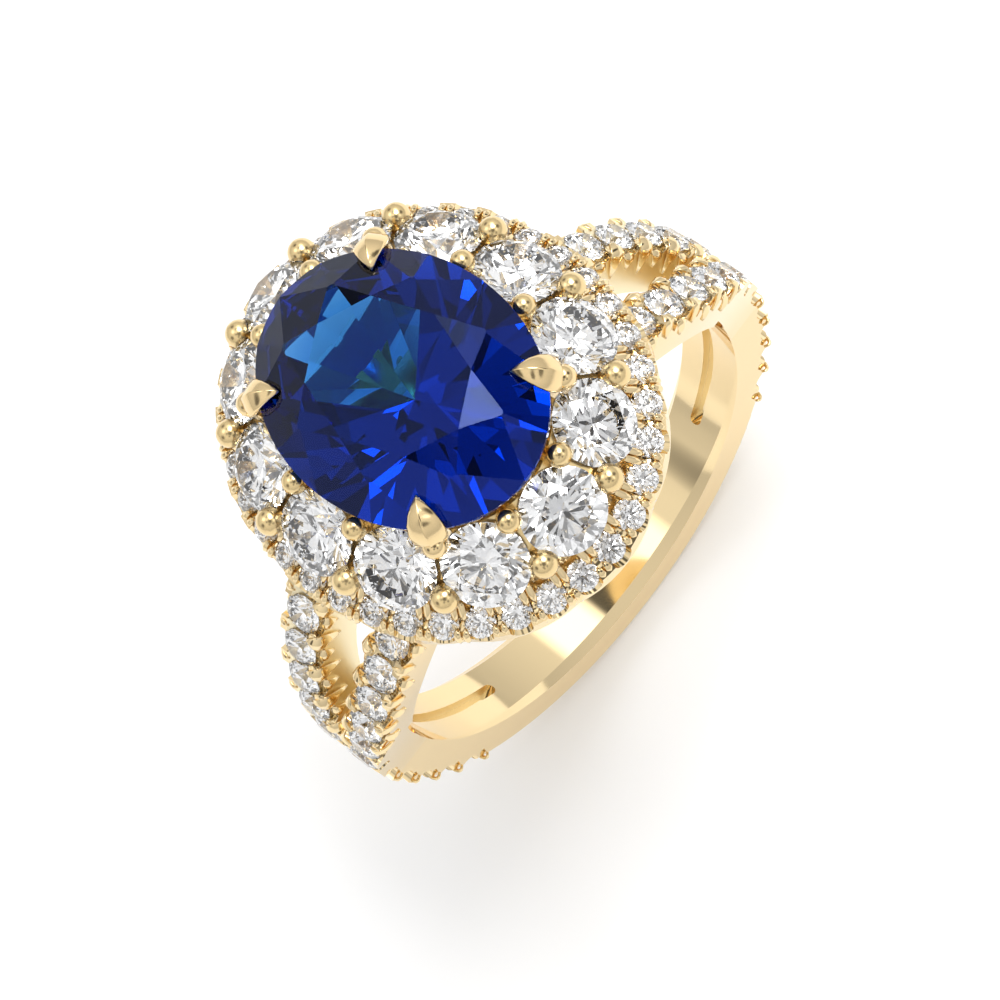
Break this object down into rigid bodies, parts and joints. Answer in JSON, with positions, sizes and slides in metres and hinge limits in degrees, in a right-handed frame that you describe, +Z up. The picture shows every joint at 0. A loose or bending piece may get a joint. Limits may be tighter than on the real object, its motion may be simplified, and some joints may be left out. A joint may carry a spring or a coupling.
{
  "type": "engagement ring",
  "caption": "Split-shoulder pave finger ring with a claw-set oval sapphire inside a halo of round diamonds and a lower scalloped rail of small ones.",
  "frame": {"origin": "centre of the finger hole, halfway across the band's width", "axes": "+Z up through the middle of the head and the oval stone, +Y along the finger and the long way of the oval, +X across the finger"},
  "size_m": [0.0206, 0.0152, 0.0266],
  "materials": {
    "gold": "polished yellow gold",
    "sapphire": "polished, deep blue",
    "diamond": "polished, colourless"
  },
  "bodies": {
    "root": {"band": "gold", "shoulder_right_near": "gold", "shoulder_right_far": "gold", "shoulder_left_near": "gold", "shoulder_left_far": "gold", "bridge": "gold", "gallery": "gold", "seat_rail": "gold", "claw_1": "gold", "claw_2": "gold", "claw_3": "gold", "claw_4": "gold", "halo_plate": "gold", "outer_rail": "gold", "oval_sapphire": "sapphire", "halo_diamond_01": "diamond", "halo_diamond_02": "diamond", "halo_diamond_03": "diamond", "halo_diamond_04": "diamond", "halo_diamond_05": "diamond", "halo_diamond_06": "diamond", "halo_diamond_07": "diamond", "halo_diamond_08": "diamond", "halo_diamond_09": "diamond", "halo_diamond_10": "diamond", "halo_diamond_11": "diamond", "halo_diamond_12": "diamond", "rail_diamonds": "diamond", "shoulder_diamonds_right_near": "diamond", "shoulder_diamonds_right_far": "diamond", "shoulder_diamonds_left_near": "diamond", "shoulder_diamonds_left_far": "diamond", "band_diamonds_right": "diamond", "band_diamonds_left": "diamond"}
  },
  "joints": []
}
